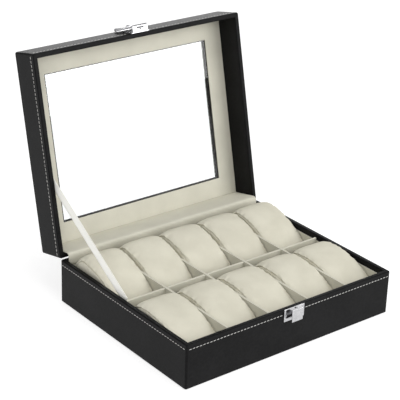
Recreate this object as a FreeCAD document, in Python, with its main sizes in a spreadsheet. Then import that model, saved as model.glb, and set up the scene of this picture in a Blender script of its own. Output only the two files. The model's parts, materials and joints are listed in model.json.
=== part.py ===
import FreeCAD, Part
import math
import os
from collections import namedtuple

# A hinged watch box: a leather-covered board base with lined cells and pillows, and a lid with a
# glass window that stands open on its ribbon stay.
# Frame in millimetres: +X to the right, +Y to the back, +Z up, origin at the middle of the underside.
# Every lid piece is drawn shut, then turned back about the hinge axis by the open angle.

SIZES = {
    # Outside of the shut box, and the skin and boards of its walls
    "box_length": 250,
    "box_depth": 202,
    "base_height": 46,
    "lid_height": 34,
    "rim_gap": 0.2,
    "leather": 0.8,
    "wall_board": 3.4,
    "corner_round": 2,
    "rim_round": 1.2,
    "top_round": 1.4,
    # Floor, linings and dividers
    "felt": 1,
    "felt_inset": 1.5,
    "floor_board": 3,
    "floor_lining": 1.2,
    "wall_lining": 1.6,
    "turn_in": 6,
    "columns": 5,
    "divider": 2.4,
    "divider_height": 38.3,
    "lap_clearance": 0.1,
    # Lid window: the velvet frame's opening, and the leather's edge that reaches further in
    "lid_open_angle": 102.6,
    "window_length": 198.3,
    "window_depth": 149.8,
    "window_side_lip": 2.5,
    "window_end_lip": 1.2,
    "window_round": 0.5,
    "window_board": 4,
    "velvet_card": 1.2,
    "glass": 3,
    "glass_lap": 4,
    "glass_clearance": 0.2,
    # Back hinges, with their knuckles sunk into the rims
    "hinge_spacing": 140,
    "leaf_length": 30,
    "leaf_height": 12,
    "leaf": 0.8,
    "knuckle_radius": 2,
    "knuckle_sink": 1.7,
    "knuckle_clearance": 0.2,
    "middle_knuckle": 10,
    "hinge_pin_radius": 1,
    "pin_clearance": 0.05,
    "screw_pitch": 20,
    "screw_head_radius": 1.6,
    "screw_head": 0.6,
    "screw_shank_radius": 0.8,
    "screw_stop": 1,
    # Velvet strip over the hinge gap, and the ribbon stay
    "strip": 0.8,
    "strip_clearance": 0.05,
    "strip_end_gap": 1,
    "ribbon": 0.4,
    "ribbon_width": 10,
    "ribbon_clearance": 0.1,
    "ribbon_base_reach": 100.3,
    "ribbon_lid_reach": 72.3,
    "ribbon_lid_tail": 14,
    # Clasp, whose lever folds back until its curl is just clear of the lid's wall
    "hasp_fold_angle": 185.5,
    "clasp_metal": 0.8,
    "clasp_reach": 5.6,
    "latch_clearance": 0.3,
    "latch_play": 0.4,
    "keeper_width": 24.5,
    "keeper_height": 12.6,
    "tongue_width": 13,
    "tongue_length": 12.6,
    "lock_hole_radius": 1.4,
    "hasp_width": 22,
    "hasp_height": 12,
    "lip_width": 18,
    "hasp_knuckle_radius": 1.7,
    "hasp_pin_radius": 0.8,
    "lever_knuckle": 8,
    "lever_width": 22,
    "lever_length": 29,
    "lever_tab_width": 10,
    "lever_curl_radius": 1.9,
    "rivet_edge": 2,
    "rivet_head_radius": 1.1,
    "rivet_head": 0.4,
    "rivet_shank_radius": 0.7,
    "rivet_stop": 1,
    # Pillows: they lie with their backs tilted up. Each end is a disc sewn into the lip of the body,
    # and the insets and ratios give how far in each ring lies and how large the section is there
    "pillow_thickness": 42,
    "pillow_front_tilt": 15.5,
    "pillow_back_tilt": 25,
    "pillow_end_gap": 0.4,
    "pillow_side_gap": 5,
    "pillow_seat_gap": 0.3,
    "pillow_side_radius": 17,
    "pillow_flat": 4,
    "pillow_seam_inset": 1.2,
    "pillow_lip_inset": 1.3,
    "pillow_rim_inset": 3,
    "pillow_shoulder_inset": 9,
    "pillow_crown_inset": 15,
    "pillow_disc_ratio": 0.86,
    "pillow_seam_ratio": 0.89,
    "pillow_lip_ratio": 0.925,
    "pillow_rim_ratio": 0.965,
    "pillow_shoulder_ratio": 0.985,
}

document = FreeCAD.newDocument("WatchBox")
sheet = document.addObject("Spreadsheet::Sheet", "Sizes")
for row, (alias, value) in enumerate(SIZES.items(), start=1):
    sheet.set(f"A{row}", alias)
    sheet.set(f"B{row}", str(value))
    sheet.setAlias(f"B{row}", alias)
document.recompute()

# Faces that several pieces share, as expressions on the sheet: from the outside in, then from the
# table up. The cell faces are those of the velvet linings.
OUTER_X = "(Sizes.box_length / 2)"
OUTER_Y = "(Sizes.box_depth / 2)"
BOARD_X = f"({OUTER_X} - Sizes.leather)"
BOARD_Y = f"({OUTER_Y} - Sizes.leather)"
CORE_X = f"({BOARD_X} - Sizes.wall_board)"
CORE_Y = f"({BOARD_Y} - Sizes.wall_board)"
RIM_X = f"({CORE_X} - Sizes.leather)"
RIM_Y = f"({CORE_Y} - Sizes.leather)"
CELL_X = f"({CORE_X} - Sizes.wall_lining)"
CELL_Y = f"({CORE_Y} - Sizes.wall_lining)"

WALL_FOOT = "(Sizes.felt + Sizes.leather)"
FLOOR_TOP = "(Sizes.felt + Sizes.floor_board)"
CELL_FLOOR = f"({FLOOR_TOP} + Sizes.floor_lining)"
DIVIDER_TOP = f"({CELL_FLOOR} + Sizes.divider_height)"
LAP_HEIGHT = f"({CELL_FLOOR} + Sizes.divider_height / 2)"
BASE_RIM = "(Sizes.base_height - Sizes.rim_gap / 2)"
BASE_BOARD_TOP = f"({BASE_RIM} - Sizes.leather)"
TURN_IN_FOOT = f"({BASE_RIM} - Sizes.turn_in)"
LID_RIM = "(Sizes.base_height + Sizes.rim_gap / 2)"
LID_BOARD_FOOT = f"({LID_RIM} + Sizes.leather)"
LID_TOP = "(Sizes.base_height + Sizes.lid_height)"
LID_BOARD_TOP = f"({LID_TOP} - Sizes.leather)"
WINDOW_BOARD_FOOT = f"({LID_BOARD_TOP} - Sizes.window_board)"
CEILING = f"({WINDOW_BOARD_FOOT} - Sizes.velvet_card)"
GLASS_TOP = f"({WINDOW_BOARD_FOOT} + Sizes.glass)"
WINDOW_X = "(Sizes.window_length / 2)"
WINDOW_Y = "(Sizes.window_depth / 2)"

# The velvet strip that goes round the hinge axis: its radii and its face towards the cells
HINGE_Y = f"({OUTER_Y} + Sizes.knuckle_radius - Sizes.knuckle_sink)"
HINGE_Z = "Sizes.base_height"
STRIP_INNER = f"({HINGE_Y} - {RIM_Y} + Sizes.strip_clearance)"
STRIP_OUTER = f"({STRIP_INNER} + Sizes.strip)"
STRIP_FACE = f"({HINGE_Y} - {STRIP_OUTER})"

# One cell between dividers
CELL_LENGTH = f"((2 * {CELL_X} - (Sizes.columns - 1) * Sizes.divider) / Sizes.columns)"
CELL_DEPTH = f"({CELL_Y} - Sizes.divider / 2)"

# The clasp's plates, its pin and its padlock hole
CLASP_FACE = f"(-{OUTER_Y} - Sizes.clasp_metal)"
TONGUE_FACE = f"(-{OUTER_Y} - Sizes.clasp_reach)"
HASP_PIN_Y = f"({TONGUE_FACE} - Sizes.latch_clearance - Sizes.clasp_metal / 2)"
HASP_PIN_Z = f"({BASE_RIM} + Sizes.latch_clearance + Sizes.hasp_knuckle_radius)"
HASP_NOTCH_Y = f"({HASP_PIN_Y} + Sizes.hasp_knuckle_radius + Sizes.latch_clearance)"
LOCK_HOLE_Y = f"(({CLASP_FACE} + {HASP_NOTCH_Y}) / 2)"

HALF_TURN = 180
QUARTER_TURN = 90
ALONG = {
    "x": FreeCAD.Rotation(FreeCAD.Vector(0, 1, 0), QUARTER_TURN),
    "y": FreeCAD.Rotation(FreeCAD.Vector(1, 0, 0), -QUARTER_TURN),
    "z": FreeCAD.Rotation(),
}
SIDES = ("front", "back", "left", "right")
HINGE_SIDES = {"left": "-", "right": ""}
SAME_PLACE = 1e-4
pieces = []

# A row of like fasteners: places in X and Z, the plate's outer face, and whether they go in along +Y
Fasteners = namedtuple("Fasteners", "places face along_y head_radius head shank_radius shank")


def number(expression):
    """The value that an expression on the sheet has now."""
    return float(sheet.evalExpression(expression))


def minus(expression):
    """An expression's negative."""
    return f"(-{expression})"


def turned_about_x(angle, across, height):
    """The placement that turns a piece about the line along X through a point in Y and Z."""
    turn = FreeCAD.Rotation(FreeCAD.Vector(1, 0, 0), angle)
    return FreeCAD.Placement(FreeCAD.Vector(), turn, FreeCAD.Vector(0, number(across), number(height)))


LID_OPEN = turned_about_x(number("-Sizes.lid_open_angle"), HINGE_Y, HINGE_Z)
HASP_FOLDED = turned_about_x(number("-Sizes.hasp_fold_angle"), HASP_PIN_Y, HASP_PIN_Z)


def new_piece(label, placement=FreeCAD.Placement()):
    """Start a piece as a body with its own label and placement."""
    body = document.addObject("PartDesign::Body", label)
    body.Label = label
    body.Placement = placement
    pieces.append(body)
    return body


def add_box(body, low, high, cut=False):
    """Add the block between two corners to a body, or cut it away."""
    kind = "Subtractive" if cut else "Additive"
    block = body.newObject(f"PartDesign::{kind}Box", f"{body.Name}_block")
    for side, axis, start, end in zip(("Length", "Width", "Height"), "xyz", low, high):
        block.setExpression(side, f"{end} - {start}")
        block.setExpression(f"Placement.Base.{axis}", start)
    return block


def add_rod(body, along, radius, start, length, cut=False):
    """Add a cylinder along an axis to a body, or cut it away."""
    kind = "Subtractive" if cut else "Additive"
    rod = body.newObject(f"PartDesign::{kind}Cylinder", f"{body.Name}_rod")
    rod.Placement = FreeCAD.Placement(FreeCAD.Vector(), ALONG[along])
    rod.setExpression("Radius", radius)
    rod.setExpression("Height", length)
    for axis, place in zip("xyz", start):
        rod.setExpression(f"Placement.Base.{axis}", place)
    return rod


def add_curl(body, half_length, across, height, outer, metal, start_angle, sweep):
    """Add part of a tube along X, swept from a start angle that is counted from +Y towards +Z."""
    start = (minus(half_length), across, height)
    length = f"2 * {half_length}"
    curl = add_rod(body, "x", outer, start, length)
    # A cylinder laid along X starts its sweep at -Z, a quarter turn before +Y
    turn = FreeCAD.Rotation(FreeCAD.Vector(1, 0, 0), start_angle + QUARTER_TURN)
    curl.Placement = FreeCAD.Placement(curl.Placement.Base, turn * ALONG["x"])
    curl.setExpression("Angle", sweep)
    add_rod(body, "x", f"{outer} - {metal}", start, length, cut=True)


def centred(half_x, half_y, foot, top):
    """The corners of a block centred on the Z axis."""
    return (minus(half_x), minus(half_y), foot), (half_x, half_y, top)


def wall(side, outer_x, outer_y, inner_x, inner_y, foot, top):
    """The corners of one wall of a rectangular ring, whose front and back run the full length."""
    corners = {
        "front": ((minus(outer_x), minus(outer_y), foot), (outer_x, minus(inner_y), top)),
        "back": ((minus(outer_x), inner_y, foot), (outer_x, outer_y, top)),
        "left": ((minus(outer_x), minus(inner_y), foot), (minus(inner_x), inner_y, top)),
        "right": ((inner_x, minus(inner_y), foot), (outer_x, inner_y, top)),
    }
    return corners[side]


def board(side, foot, top):
    """The corners of one wall board of the base or the lid."""
    return wall(side, BOARD_X, BOARD_Y, CORE_X, CORE_Y, foot, top)


def round_edges(body, radius, chosen):
    """Round the edges of a body that a test on their bounding boxes picks."""
    document.recompute()
    sharp = body.Tip
    names = []
    for index, edge in enumerate(sharp.Shape.Edges, start=1):
        if chosen(edge.BoundBox):
            names.append(f"Edge{index}")
    fillet = body.newObject("PartDesign::Fillet", f"{body.Name}_round")
    fillet.Base = (sharp, names)
    fillet.setExpression("Radius", radius)


def upright_corner(bounds):
    """Whether an edge is one of the box's four upright outer corners."""
    upright = bounds.XLength < SAME_PLACE and bounds.YLength < SAME_PLACE
    at_end = abs(abs(bounds.Center.x) - number(OUTER_X)) < SAME_PLACE
    at_side = abs(abs(bounds.Center.y) - number(OUTER_Y)) < SAME_PLACE
    return upright and at_end and at_side


def level_with(height, beyond="0", within="Sizes.box_length"):
    """A test for edges that lie flat at a height and whose reach along X lies between two lengths."""
    level = number(height)
    least = number(beyond)
    most = number(within)

    def chosen(bounds):
        flat = bounds.ZLength < SAME_PLACE and abs(bounds.Center.z - level) < SAME_PLACE
        reach = max(abs(bounds.XMin), abs(bounds.XMax))
        return flat and least < reach < most

    return chosen


def drill(body, fasteners):
    """Cut the shank holes of a row of fasteners."""
    shank_start = fasteners.face if fasteners.along_y else f"({fasteners.face} - {fasteners.shank})"
    for across, height in fasteners.places:
        place = (across, shank_start, height)
        add_rod(body, "y", fasteners.shank_radius, place, fasteners.shank, cut=True)


def sink_knuckles(body):
    """Cut the recesses for both hinges' knuckles into a back rim."""
    room = "(Sizes.knuckle_radius + Sizes.knuckle_clearance)"
    half_length = "(Sizes.leaf_length / 2 + Sizes.knuckle_clearance)"
    for side in HINGE_SIDES.values():
        middle = f"({side}Sizes.hinge_spacing / 2)"
        low = (f"({middle} - {half_length})", f"({HINGE_Y} - {room})", f"({HINGE_Z} - {room})")
        high = (f"({middle} + {half_length})", f"({HINGE_Y} + {room})", f"({HINGE_Z} + {room})")
        add_box(body, low, high, cut=True)


def make_fasteners(label, fasteners, placement=FreeCAD.Placement()):
    """A group of screws or rivets, each a head on the plate and a shank through it into the board."""
    group = new_piece(label, placement)
    shank_start = fasteners.face if fasteners.along_y else f"({fasteners.face} - {fasteners.shank})"
    head_start = f"({fasteners.face} - {fasteners.head})" if fasteners.along_y else fasteners.face
    for across, height in fasteners.places:
        add_rod(group, "y", fasteners.shank_radius, (across, shank_start, height), fasteners.shank)
        add_rod(group, "y", fasteners.head_radius, (across, head_start, height), fasteners.head)


def hinge_screws(heights_above_axis):
    """The screws of both hinges' leaves on one half of the box."""
    middle = "Sizes.hinge_spacing / 2"
    reach = "Sizes.screw_pitch / 2"
    places = []
    for hinge_side in HINGE_SIDES.values():
        for end in ("-", "+"):
            places.append((f"({hinge_side}{middle} {end} {reach})", heights_above_axis))
    return Fasteners(
        places=places,
        face=f"({OUTER_Y} + Sizes.leaf)",
        along_y=False,
        head_radius="Sizes.screw_head_radius",
        head="Sizes.screw_head",
        shank_radius="Sizes.screw_shank_radius",
        shank="(Sizes.leaf + Sizes.leather + Sizes.wall_board - Sizes.screw_stop)",
    )


def clasp_rivets(plate_width, height):
    """The two rivets near the ends of one clasp plate."""
    reach = f"({plate_width} / 2 - Sizes.rivet_edge)"
    return Fasteners(
        places=[(minus(reach), height), (reach, height)],
        face=CLASP_FACE,
        along_y=True,
        head_radius="Sizes.rivet_head_radius",
        head="Sizes.rivet_head",
        shank_radius="Sizes.rivet_shank_radius",
        shank="(Sizes.clasp_metal + Sizes.leather + Sizes.wall_board - Sizes.rivet_stop)",
    )


# The screws sit half way up the part of each leaf that is clear of the knuckles
SCREW_HEIGHT = "((Sizes.leaf_height + Sizes.knuckle_radius) / 2)"
BASE_SCREWS = hinge_screws(f"({HINGE_Z} - {SCREW_HEIGHT})")
LID_SCREWS = hinge_screws(f"({HINGE_Z} + {SCREW_HEIGHT})")
KEEPER_RIVETS = clasp_rivets("Sizes.keeper_width", f"({BASE_RIM} - Sizes.keeper_height / 2)")
HASP_RIVETS = clasp_rivets("Sizes.hasp_width", f"({LID_RIM} + Sizes.hasp_height / 2)")


def make_base_shell():
    """The base's boards, its leather skin and the felt that it stands on."""
    for side in SIDES:
        panel = new_piece(f"base_{side}_board")
        add_box(panel, *board(side, WALL_FOOT, BASE_BOARD_TOP))
        if side == "front":
            drill(panel, KEEPER_RIVETS)
        if side == "back":
            drill(panel, BASE_SCREWS)
            sink_knuckles(panel)
    add_box(new_piece("base_floor_board"), *centred(CORE_X, CORE_Y, "Sizes.felt", FLOOR_TOP))

    wrap = new_piece("base_leather_wrap")
    add_box(wrap, *centred(OUTER_X, OUTER_Y, "Sizes.felt", BASE_RIM))
    add_box(wrap, *centred(RIM_X, RIM_Y, "Sizes.felt", BASE_RIM), cut=True)
    add_box(wrap, *centred(CORE_X, CORE_Y, "Sizes.felt", TURN_IN_FOOT), cut=True)
    for side in SIDES:
        add_box(wrap, *board(side, WALL_FOOT, BASE_BOARD_TOP), cut=True)
    round_edges(wrap, "Sizes.corner_round", upright_corner)
    round_edges(wrap, "Sizes.rim_round", level_with(BASE_RIM))
    drill(wrap, KEEPER_RIVETS)
    drill(wrap, BASE_SCREWS)
    sink_knuckles(wrap)

    felt_x = f"({OUTER_X} - Sizes.felt_inset)"
    felt_y = f"({OUTER_Y} - Sizes.felt_inset)"
    add_box(new_piece("base_bottom_felt"), *centred(felt_x, felt_y, "0", "Sizes.felt"))


def make_base_lining():
    """The velvet-covered cards inside the base: floor, walls and half-lapped dividers."""
    add_box(new_piece("base_floor_lining"), *centred(CORE_X, CORE_Y, FLOOR_TOP, CELL_FLOOR))
    for side in SIDES:
        card = new_piece(f"base_{side}_lining")
        add_box(card, *wall(side, CORE_X, CORE_Y, CELL_X, CELL_Y, CELL_FLOOR, TURN_IN_FOOT))

    half_card = "(Sizes.divider / 2)"
    half_slot = f"({half_card} + Sizes.lap_clearance)"
    row_divider = new_piece("row_divider")
    add_box(row_divider, *centred(CELL_X, half_card, CELL_FLOOR, DIVIDER_TOP))
    for index in range(1, SIZES["columns"]):
        middle = f"(-{CELL_X} + {index} * ({CELL_LENGTH} + Sizes.divider) - {half_card})"
        slot_low = (f"({middle} - {half_slot})", minus(half_card), LAP_HEIGHT)
        slot_high = (f"({middle} + {half_slot})", half_card, DIVIDER_TOP)
        add_box(row_divider, slot_low, slot_high, cut=True)

        cross = new_piece(f"cross_divider_{index}")
        left = f"({middle} - {half_card})"
        right = f"({middle} + {half_card})"
        add_box(cross, (left, minus(CELL_Y), CELL_FLOOR), (right, CELL_Y, DIVIDER_TOP))
        add_box(cross, (left, minus(half_slot), CELL_FLOOR), (right, half_slot, LAP_HEIGHT), cut=True)
        # The back end is cut away beside the strip over the hinge gap
        strip_low = (left, f"({STRIP_FACE} - Sizes.strip_clearance)", TURN_IN_FOOT)
        strip_high = (right, BOARD_Y, f"(max({DIVIDER_TOP}; {TURN_IN_FOOT}) + Sizes.strip)")
        add_box(cross, strip_low, strip_high, cut=True)


def make_lid_shell():
    """The lid's boards, glass, velvet frame and leather skin."""
    for side in SIDES:
        panel = new_piece(f"lid_{side}_board", LID_OPEN)
        add_box(panel, *board(side, LID_BOARD_FOOT, LID_BOARD_TOP))
        if side == "front":
            drill(panel, HASP_RIVETS)
        if side == "back":
            drill(panel, LID_SCREWS)
            sink_knuckles(panel)

    lip_x = f"({WINDOW_X} - Sizes.window_side_lip)"
    lip_y = f"({WINDOW_Y} - Sizes.window_end_lip)"
    reveal_x = f"({lip_x} + Sizes.leather)"
    reveal_y = f"({lip_y} + Sizes.leather)"
    glass_x = f"({WINDOW_X} + Sizes.glass_lap)"
    glass_y = f"({WINDOW_Y} + Sizes.glass_lap)"
    rebate_x = f"({glass_x} + Sizes.glass_clearance)"
    rebate_y = f"({glass_y} + Sizes.glass_clearance)"
    window_board = new_piece("lid_window_board", LID_OPEN)
    add_box(window_board, *centred(CORE_X, CORE_Y, WINDOW_BOARD_FOOT, LID_BOARD_TOP))
    add_box(window_board, *centred(reveal_x, reveal_y, WINDOW_BOARD_FOOT, LID_BOARD_TOP), cut=True)
    add_box(window_board, *centred(rebate_x, rebate_y, WINDOW_BOARD_FOOT, GLASS_TOP), cut=True)

    pane = new_piece("lid_glass", LID_OPEN)
    add_box(pane, *centred(glass_x, glass_y, WINDOW_BOARD_FOOT, GLASS_TOP))

    frame = new_piece("lid_velvet_frame", LID_OPEN)
    add_box(frame, *centred(RIM_X, RIM_Y, CEILING, WINDOW_BOARD_FOOT))
    add_box(frame, *centred(WINDOW_X, WINDOW_Y, CEILING, WINDOW_BOARD_FOOT), cut=True)

    wrap = new_piece("lid_leather_wrap", LID_OPEN)
    add_box(wrap, *centred(OUTER_X, OUTER_Y, LID_RIM, LID_TOP))
    add_box(wrap, *centred(RIM_X, RIM_Y, LID_RIM, WINDOW_BOARD_FOOT), cut=True)
    add_box(wrap, *centred(CORE_X, CORE_Y, WINDOW_BOARD_FOOT, LID_BOARD_TOP), cut=True)
    for side in SIDES:
        add_box(wrap, *board(side, LID_BOARD_FOOT, LID_BOARD_TOP), cut=True)
    add_box(wrap, *centred(reveal_x, reveal_y, GLASS_TOP, LID_TOP))
    add_box(wrap, *centred(lip_x, lip_y, GLASS_TOP, LID_TOP), cut=True)
    round_edges(wrap, "Sizes.corner_round", upright_corner)
    round_edges(wrap, "Sizes.rim_round", level_with(LID_RIM))
    round_edges(wrap, "Sizes.window_round", level_with(LID_TOP, within=WINDOW_X))
    round_edges(wrap, "Sizes.top_round", level_with(LID_TOP, beyond=WINDOW_X))
    drill(wrap, HASP_RIVETS)
    drill(wrap, LID_SCREWS)
    sink_knuckles(wrap)


def make_hinge(name, side):
    """One butt hinge: its base leaf with the middle knuckle, its lid leaf with the end ones, its pin."""
    middle = f"({side}Sizes.hinge_spacing / 2)"
    half_leaf = "Sizes.leaf_length / 2"
    half_knuckle = "Sizes.middle_knuckle / 2"
    leaf_face = f"({OUTER_Y} + Sizes.leaf)"
    clear_of_knuckle = "(Sizes.knuckle_radius + Sizes.knuckle_clearance)"
    end_knuckle = f"({half_leaf} - {half_knuckle} - Sizes.knuckle_clearance)"
    leaf_left = f"({middle} - {half_leaf})"
    leaf_right = f"({middle} + {half_leaf})"
    knuckle_left = f"({middle} - {half_knuckle})"
    knuckle_right = f"({middle} + {half_knuckle})"

    base_leaf = new_piece(f"hinge_base_leaf_{name}")
    plate_foot = f"({HINGE_Z} - Sizes.leaf_height)"
    plate_top = f"({HINGE_Z} - {clear_of_knuckle})"
    add_box(base_leaf, (leaf_left, OUTER_Y, plate_foot), (leaf_right, leaf_face, plate_top))
    add_box(base_leaf, (knuckle_left, OUTER_Y, plate_foot), (knuckle_right, leaf_face, HINGE_Z))
    knuckle_start = (knuckle_left, HINGE_Y, HINGE_Z)
    bore = "(Sizes.hinge_pin_radius + Sizes.pin_clearance)"
    add_rod(base_leaf, "x", "Sizes.knuckle_radius", knuckle_start, "Sizes.middle_knuckle")
    add_rod(base_leaf, "x", bore, knuckle_start, "Sizes.middle_knuckle", cut=True)
    drill(base_leaf, BASE_SCREWS)

    lid_leaf = new_piece(f"hinge_lid_leaf_{name}", LID_OPEN)
    plate_foot = f"({HINGE_Z} + {clear_of_knuckle})"
    plate_top = f"({HINGE_Z} + Sizes.leaf_height)"
    add_box(lid_leaf, (leaf_left, OUTER_Y, plate_foot), (leaf_right, leaf_face, plate_top))
    for end_left in (leaf_left, f"({leaf_right} - {end_knuckle})"):
        end_right = f"({end_left} + {end_knuckle})"
        add_box(lid_leaf, (end_left, OUTER_Y, HINGE_Z), (end_right, leaf_face, plate_top))
        add_rod(lid_leaf, "x", "Sizes.knuckle_radius", (end_left, HINGE_Y, HINGE_Z), end_knuckle)
    pin_start = (leaf_left, HINGE_Y, HINGE_Z)
    add_rod(lid_leaf, "x", "Sizes.hinge_pin_radius", pin_start, "Sizes.leaf_length", cut=True)
    drill(lid_leaf, LID_SCREWS)

    pin = new_piece(f"hinge_pin_{name}", LID_OPEN)
    add_rod(pin, "x", "Sizes.hinge_pin_radius", pin_start, "Sizes.leaf_length")


def make_hinge_lining():
    """The velvet strip from the base's back wall, round the hinge axis, along the lid's back wall."""
    strip = new_piece("hinge_lining")
    half_length = f"({RIM_X} - Sizes.strip_end_gap)"
    far_face = f"({HINGE_Y} - {STRIP_INNER})"
    lid_end_angle = HALF_TURN - number("Sizes.lid_open_angle")
    add_curl(strip, half_length, HINGE_Y, HINGE_Z, STRIP_OUTER, "Sizes.strip", lid_end_angle,
             "Sizes.lid_open_angle")
    base_foot = f"({TURN_IN_FOOT} + Sizes.strip_clearance)"
    add_box(strip, (minus(half_length), STRIP_FACE, base_foot), (half_length, far_face, HINGE_Z))
    lid_end = f"({CEILING} - Sizes.strip_clearance)"
    lid_flap = add_box(strip, (minus(half_length), STRIP_FACE, HINGE_Z), (half_length, far_face, lid_end))
    corner = FreeCAD.Vector(-number(half_length), number(STRIP_FACE), number(HINGE_Z))
    for axis in "xyz":
        lid_flap.setExpression(f"Placement.Base.{axis}", None)
    lid_flap.Placement = LID_OPEN.multiply(FreeCAD.Placement(corner, FreeCAD.Rotation()))


def make_ribbon():
    """The stay, pulled straight beside the left walls from the base's rim to the inside of the lid."""
    on_base = FreeCAD.Vector(0, number(f"{HINGE_Y} - Sizes.ribbon_base_reach"), number(HINGE_Z))
    on_lid = FreeCAD.Vector(0, number(f"{HINGE_Y} - Sizes.ribbon_lid_reach"), number(HINGE_Z))
    pull = LID_OPEN.multVec(on_lid) - on_base
    slope = math.atan2(pull.z, pull.y)
    # The lower end's corner stops just above the velvet card that it goes behind
    half_width = number("Sizes.ribbon_width / 2")
    room = number(f"{HINGE_Z} - {TURN_IN_FOOT} - Sizes.ribbon_clearance")
    base_tail = (room - half_width * math.cos(slope)) / math.sin(slope)
    length = base_tail + pull.Length + number("Sizes.ribbon_lid_tail")

    tape = new_piece("lid_ribbon")
    start = (f"(-{RIM_X} + Sizes.ribbon_clearance)", "0", "(-Sizes.ribbon_width / 2)")
    end = (f"({start[0]} + Sizes.ribbon)", str(length), "(Sizes.ribbon_width / 2)")
    add_box(tape, start, end)
    lower_end = on_base - FreeCAD.Vector(0, math.cos(slope), math.sin(slope)) * base_tail
    lean = FreeCAD.Rotation(FreeCAD.Vector(1, 0, 0), math.degrees(slope))
    tape.Placement = FreeCAD.Placement(lower_end, lean)


def add_lock_hole(body, plate_foot):
    """Cut the padlock hole through a clasp plate's lip."""
    start = ("0", LOCK_HOLE_Y, plate_foot)
    add_rod(body, "z", "Sizes.lock_hole_radius", start, "Sizes.clasp_metal", cut=True)


def make_keeper():
    """The catch on the base: a plate on the wall, a lip at its top and a tongue that hangs from it."""
    keeper = new_piece("keeper_plate")
    half_plate = "(Sizes.keeper_width / 2)"
    half_tongue = "(Sizes.tongue_width / 2)"
    plate_foot = f"({BASE_RIM} - Sizes.keeper_height)"
    lip_foot = f"({BASE_RIM} - Sizes.clasp_metal)"
    tongue_foot = f"({BASE_RIM} - Sizes.tongue_length)"
    tongue_back = f"({TONGUE_FACE} + Sizes.clasp_metal)"
    wall_face = minus(OUTER_Y)
    add_box(keeper, (minus(half_plate), CLASP_FACE, plate_foot), (half_plate, wall_face, BASE_RIM))
    add_box(keeper, (minus(half_tongue), TONGUE_FACE, lip_foot), (half_tongue, wall_face, BASE_RIM))
    add_box(keeper, (minus(half_tongue), TONGUE_FACE, tongue_foot), (half_tongue, tongue_back, BASE_RIM))
    add_lock_hole(keeper, lip_foot)
    drill(keeper, KEEPER_RIVETS)
    make_fasteners("keeper_rivets", KEEPER_RIVETS)


def make_hasp():
    """The clasp on the lid: a bracket with a lip and end knuckles, a pin, and the lever, folded back."""
    half_plate = "(Sizes.hasp_width / 2)"
    half_lip = "(Sizes.lip_width / 2)"
    half_knuckle = "(Sizes.lever_knuckle / 2)"
    half_metal = "(Sizes.clasp_metal / 2)"
    half_notch = f"({half_knuckle} + Sizes.latch_clearance)"
    lip_top = f"({LID_RIM} + Sizes.clasp_metal)"
    plate_top = f"({LID_RIM} + Sizes.hasp_height)"
    wall_face = minus(OUTER_Y)
    pin_start = (minus(half_lip), HASP_PIN_Y, HASP_PIN_Z)

    bracket = new_piece("hasp_bracket", LID_OPEN)
    add_box(bracket, (minus(half_plate), CLASP_FACE, LID_RIM), (half_plate, wall_face, plate_top))
    add_box(bracket, (minus(half_lip), HASP_PIN_Y, LID_RIM), (half_lip, wall_face, lip_top))
    add_rod(bracket, "x", "Sizes.hasp_knuckle_radius", pin_start, "Sizes.lip_width")
    knuckle_front = f"({HASP_PIN_Y} - Sizes.hasp_knuckle_radius)"
    knuckle_top = f"({HASP_PIN_Z} + Sizes.hasp_knuckle_radius)"
    notch_low = (minus(half_notch), knuckle_front, LID_RIM)
    add_box(bracket, notch_low, (half_notch, HASP_NOTCH_Y, knuckle_top), cut=True)
    add_rod(bracket, "x", "Sizes.hasp_pin_radius", pin_start, "Sizes.lip_width", cut=True)
    add_lock_hole(bracket, LID_RIM)
    drill(bracket, HASP_RIVETS)
    make_fasteners("hasp_rivets", HASP_RIVETS, LID_OPEN)
    add_rod(new_piece("hasp_pin", LID_OPEN), "x", "Sizes.hasp_pin_radius", pin_start, "Sizes.lip_width")

    # The lever is drawn latched: it hangs over the tongue, and its tab goes under the tongue's foot
    lever = new_piece("hasp_lever", LID_OPEN.multiply(HASP_FOLDED))
    half_width = "(Sizes.lever_width / 2)"
    half_tab = "(Sizes.lever_tab_width / 2)"
    outer_face = f"({HASP_PIN_Y} - {half_metal})"
    inner_face = f"({HASP_PIN_Y} + {half_metal})"
    plate_top = f"({HASP_PIN_Z} - Sizes.hasp_knuckle_radius - Sizes.latch_clearance)"
    plate_foot = f"({HASP_PIN_Z} - Sizes.lever_length + Sizes.lever_curl_radius)"
    curl_y = f"({inner_face} - Sizes.lever_curl_radius)"
    add_curl(lever, half_width, curl_y, plate_foot, "Sizes.lever_curl_radius", "Sizes.clasp_metal",
             -HALF_TURN, str(HALF_TURN))
    add_box(lever, (minus(half_width), outer_face, plate_foot), (half_width, inner_face, plate_top))
    add_box(lever, (minus(half_knuckle), outer_face, plate_foot), (half_knuckle, inner_face, HASP_PIN_Z))
    tab_top = f"({BASE_RIM} - Sizes.tongue_length - Sizes.latch_play)"
    tab_foot = f"({tab_top} - Sizes.clasp_metal)"
    tab_tip = f"({TONGUE_FACE} + Sizes.clasp_metal + Sizes.latch_clearance)"
    add_box(lever, (minus(half_tab), outer_face, tab_foot), (half_tab, tab_tip, tab_top))
    knuckle_start = (minus(half_knuckle), HASP_PIN_Y, HASP_PIN_Z)
    bore = "(Sizes.hasp_pin_radius + Sizes.pin_clearance)"
    add_rod(lever, "x", "Sizes.hasp_knuckle_radius", knuckle_start, "Sizes.lever_knuckle")
    add_rod(lever, "x", bore, knuckle_start, "Sizes.lever_knuckle", cut=True)


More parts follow.
